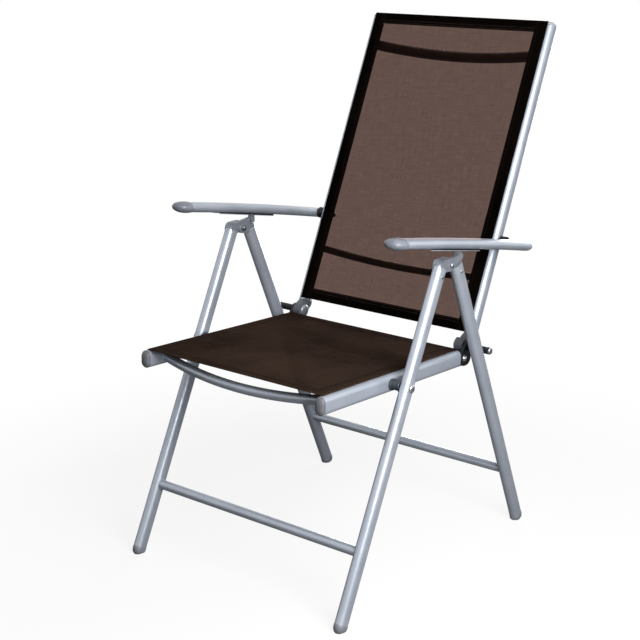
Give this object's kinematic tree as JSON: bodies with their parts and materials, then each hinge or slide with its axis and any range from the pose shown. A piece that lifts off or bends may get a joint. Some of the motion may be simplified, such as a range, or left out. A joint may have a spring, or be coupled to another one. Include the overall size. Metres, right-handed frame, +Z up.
{
  "type": "folding lawn chair",
  "caption": "Folding reclining lawn chair: oval-tube frame, stretched mesh seat and back slings, hinged leg frames, and toothed armrests that hold the back at a chosen angle.",
  "frame": {"origin": "centre of the bounding box's footprint, on the floor under the four feet", "axes": "+Z up, -Y to the front of the chair, +X to the sitter's left"},
  "size_m": [0.5834, 0.8117, 1.0799],
  "materials": {
    "frame_tube": "satin silver-grey powder coat on round-edged oval tube",
    "hinge_casting": "painted die-cast heads, a shade darker than the tube",
    "fastener_steel": "bright zinc-plated bolts, pins and rivets",
    "light_plug": "light grey moulded end plugs",
    "grey_plastic": "mid grey moulded caps and hinge knuckles",
    "black_plastic": "black moulded end blocks, spacers, bushes and racks",
    "foot_rubber": "dark grey rubbery foot plugs, rounded and flat underneath",
    "sling_fabric": "open-weave dark brown coated mesh with black sewn hems"
  },
  "bodies": {
    "front_legs": {"left_front_leg": "frame_tube", "right_front_leg": "frame_tube", "left_front_foot": "foot_rubber", "right_front_foot": "foot_rubber", "left_front_head": "hinge_casting", "right_front_head": "hinge_casting", "left_latch_pin": "fastener_steel", "right_latch_pin": "fastener_steel", "left_hinge_bolt": "fastener_steel", "right_hinge_bolt": "fastener_steel", "left_seat_bolt": "fastener_steel", "right_seat_bolt": "fastener_steel", "left_front_rivet": "fastener_steel", "right_front_rivet": "fastener_steel", "front_crossbar": "frame_tube"},
    "rear_legs": {"left_rear_leg": "frame_tube", "right_rear_leg": "frame_tube", "left_rear_foot": "foot_rubber", "right_rear_foot": "foot_rubber", "left_rear_head": "hinge_casting", "right_rear_head": "hinge_casting", "left_rear_rivet": "fastener_steel", "right_rear_rivet": "fastener_steel", "rear_crossbar": "frame_tube"},
    "seat": {"left_seat_rail": "frame_tube", "right_seat_rail": "frame_tube", "left_rail_plug": "light_plug", "right_rail_plug": "light_plug", "left_rail_end": "black_plastic", "right_rail_end": "black_plastic", "left_rail_bolt": "fastener_steel", "right_rail_bolt": "fastener_steel", "left_spacer": "black_plastic", "right_spacer": "black_plastic", "seat_front_bow": "frame_tube", "seat_rear_bow": "frame_tube", "seat_sling": "sling_fabric"},
    "back_pivot": {"left_back_pin": "fastener_steel", "right_back_pin": "fastener_steel"},
    "back": {"left_back_tube": "frame_tube", "right_back_tube": "frame_tube", "left_back_cap": "grey_plastic", "right_back_cap": "grey_plastic", "left_knuckle": "grey_plastic", "right_knuckle": "grey_plastic", "back_top_bow": "frame_tube", "back_lower_bow": "frame_tube", "back_sling": "sling_fabric"},
    "arm_pivot": {"left_arm_bolt": "fastener_steel", "right_arm_bolt": "fastener_steel"},
    "arm_level": {"left_arm_bush": "black_plastic", "right_arm_bush": "black_plastic"},
    "left_arm": {"left_armrest": "frame_tube", "left_arm_front_cap": "grey_plastic", "left_arm_rear_cap": "grey_plastic", "left_rack": "black_plastic"},
    "right_arm": {"right_armrest": "frame_tube", "right_arm_front_cap": "grey_plastic", "right_arm_rear_cap": "grey_plastic", "right_rack": "black_plastic"}
  },
  "joints": [
    {"name": "fold", "type": "hinge", "parent": "seat", "child": "front_legs", "pos_m": [0, -0.1889, 0.429], "axis": [1, 0, 0], "range_deg": [0, 90]},
    {"name": "rear_leg_fold", "type": "hinge", "parent": "front_legs", "child": "rear_legs", "pos_m": [0, -0.0586, 0.646], "axis": [-1, 0, 0], "range_deg": [0, 43.56]},
    {"name": "back_fold", "type": "hinge", "parent": "back_pivot", "child": "seat", "pos_m": [0, 0.08604, 0.437], "axis": [-1, 0, 0], "range_deg": [0, 79.2]},
    {"name": "recline", "type": "hinge", "parent": "back_pivot", "child": "back", "pos_m": [0, 0.08604, 0.437], "axis": [1, 0, 0], "range_deg": [-27, 12]},
    {"name": "arm_fold", "type": "hinge", "parent": "back", "child": "arm_pivot", "pos_m": [0, 0.19778, 0.63922], "axis": [-1, 0, 0], "range_deg": [0, 104.4]},
    {"name": "arm_level", "type": "hinge", "parent": "arm_pivot", "child": "arm_level", "pos_m": [0, 0.19778, 0.63922], "axis": [-1, 0, 0], "range_deg": [-17.28, 7.68]},
    {"name": "left_arm_lift", "type": "hinge", "parent": "arm_level", "child": "left_arm", "pos_m": [0, 0.19778, 0.63922], "axis": [-1, 0, 0], "range_deg": [0, 20]},
    {"name": "right_arm_lift", "type": "hinge", "parent": "arm_level", "child": "right_arm", "pos_m": [0, 0.19778, 0.63922], "axis": [-1, 0, 0], "range_deg": [0, 20]}
  ],
  "couplings": [
    {"joint": "rear_leg_fold", "follows": "fold", "ratio": 0.484},
    {"joint": "back_fold", "follows": "fold", "ratio": 0.88},
    {"joint": "arm_fold", "follows": "fold", "ratio": 1.16},
    {"joint": "arm_level", "follows": "recline", "ratio": 0.64}
  ]
}
